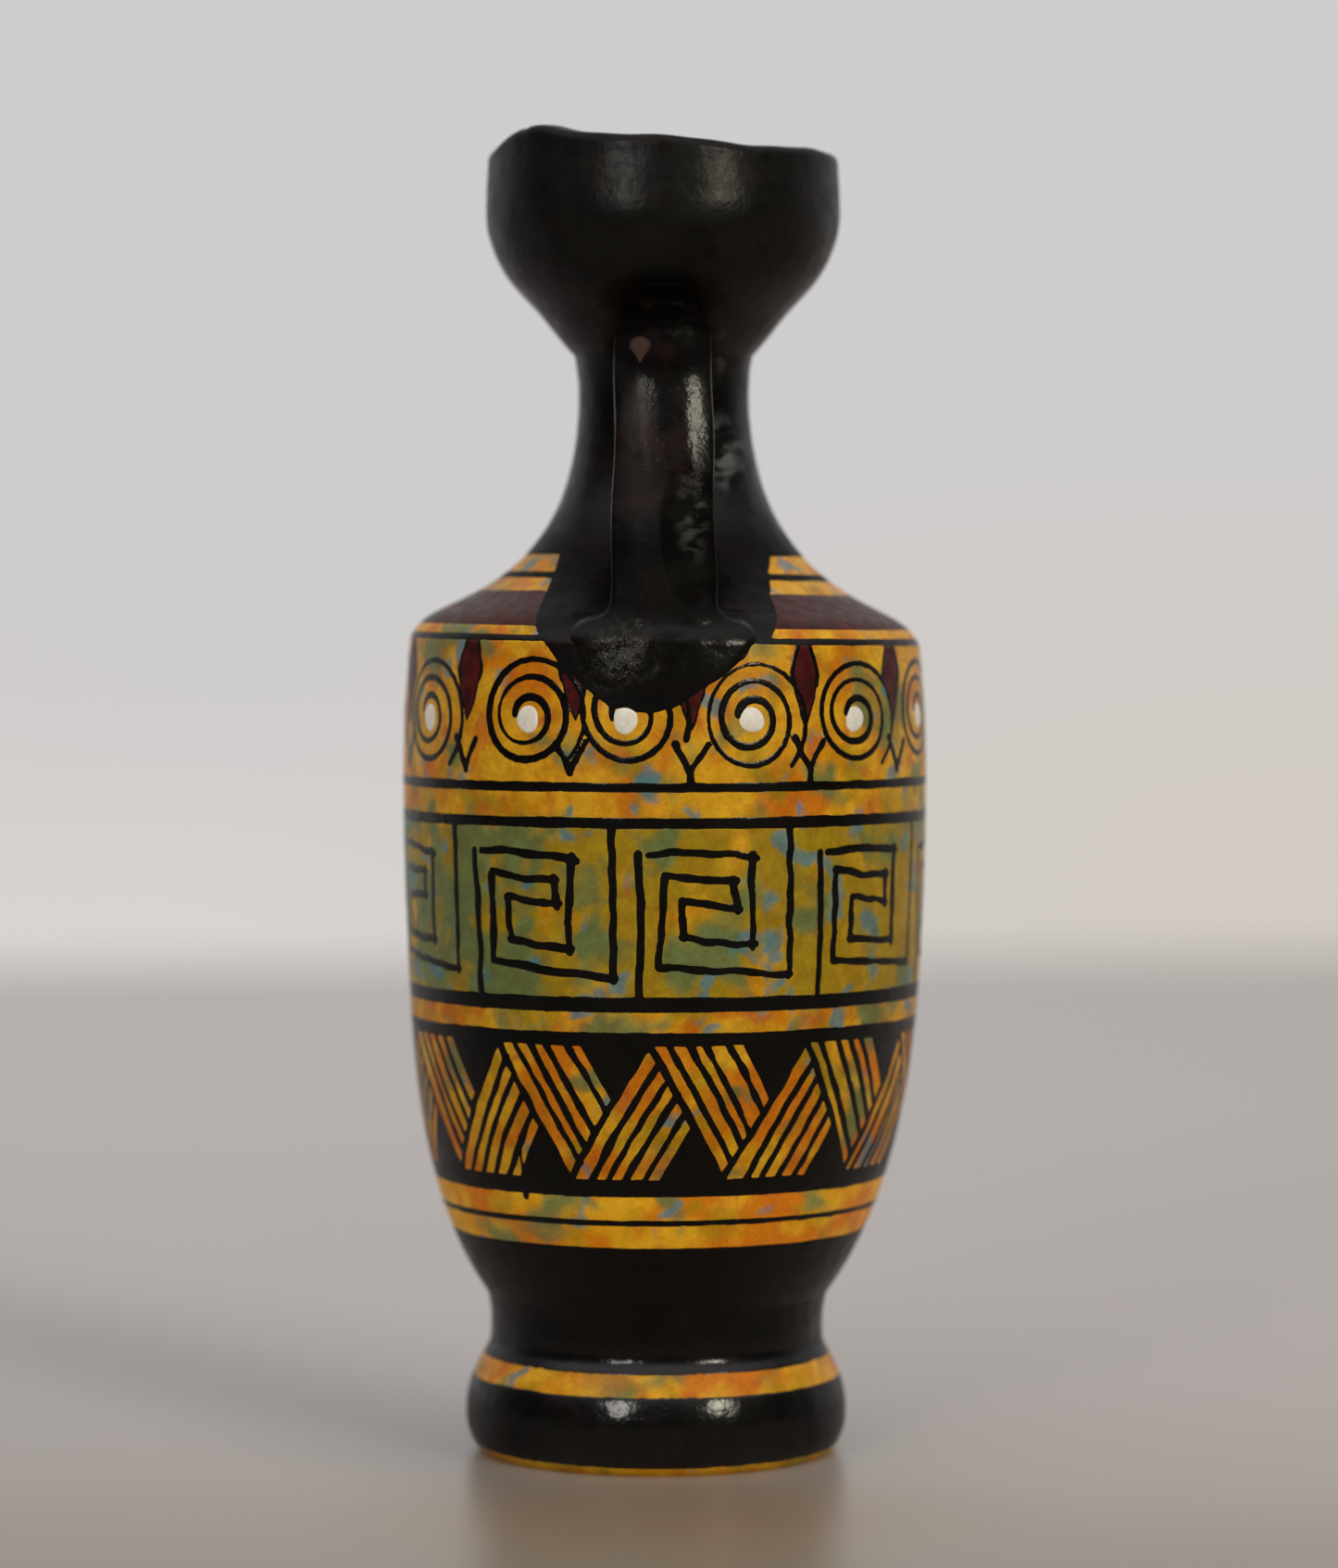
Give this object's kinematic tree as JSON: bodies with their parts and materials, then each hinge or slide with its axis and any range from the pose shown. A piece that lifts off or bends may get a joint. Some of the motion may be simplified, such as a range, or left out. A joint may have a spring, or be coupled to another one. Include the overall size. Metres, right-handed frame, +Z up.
{
  "type": "lekythos vase",
  "caption": "Small painted lekythos: cup mouth, narrow neck, sloping shoulder, tall cylindrical body, torus foot and one vertical strap handle.",
  "frame": {"origin": "centre of the foot's resting ring, on the resting plane", "axes": "+Z up along the vessel's axis; the strap handle stands on the -Y side; +X is to the right when the handle faces the viewer"},
  "size_m": [0.0602, 0.0608, 0.1506],
  "materials": {
    "black_glaze": "satin black slip under a clear varnish",
    "colour_wash": "mottled ochre, orange and blue-green wash under a clear varnish",
    "oxblood_paint": "satin dark red paint",
    "white_paint": "matt white dots",
    "luting_slip": "matt fired terracotta slip"
  },
  "bodies": {
    "root": {"foot": "black_glaze", "body": "colour_wash", "shoulder_neck": "black_glaze", "mouth": "black_glaze", "handle": "black_glaze", "handle_upper_lute": "black_glaze", "handle_lower_lute": "black_glaze", "foot_slip_ring": "luting_slip", "shoulder_slip_ring": "luting_slip", "mouth_slip_ring": "luting_slip"}
  },
  "joints": []
}
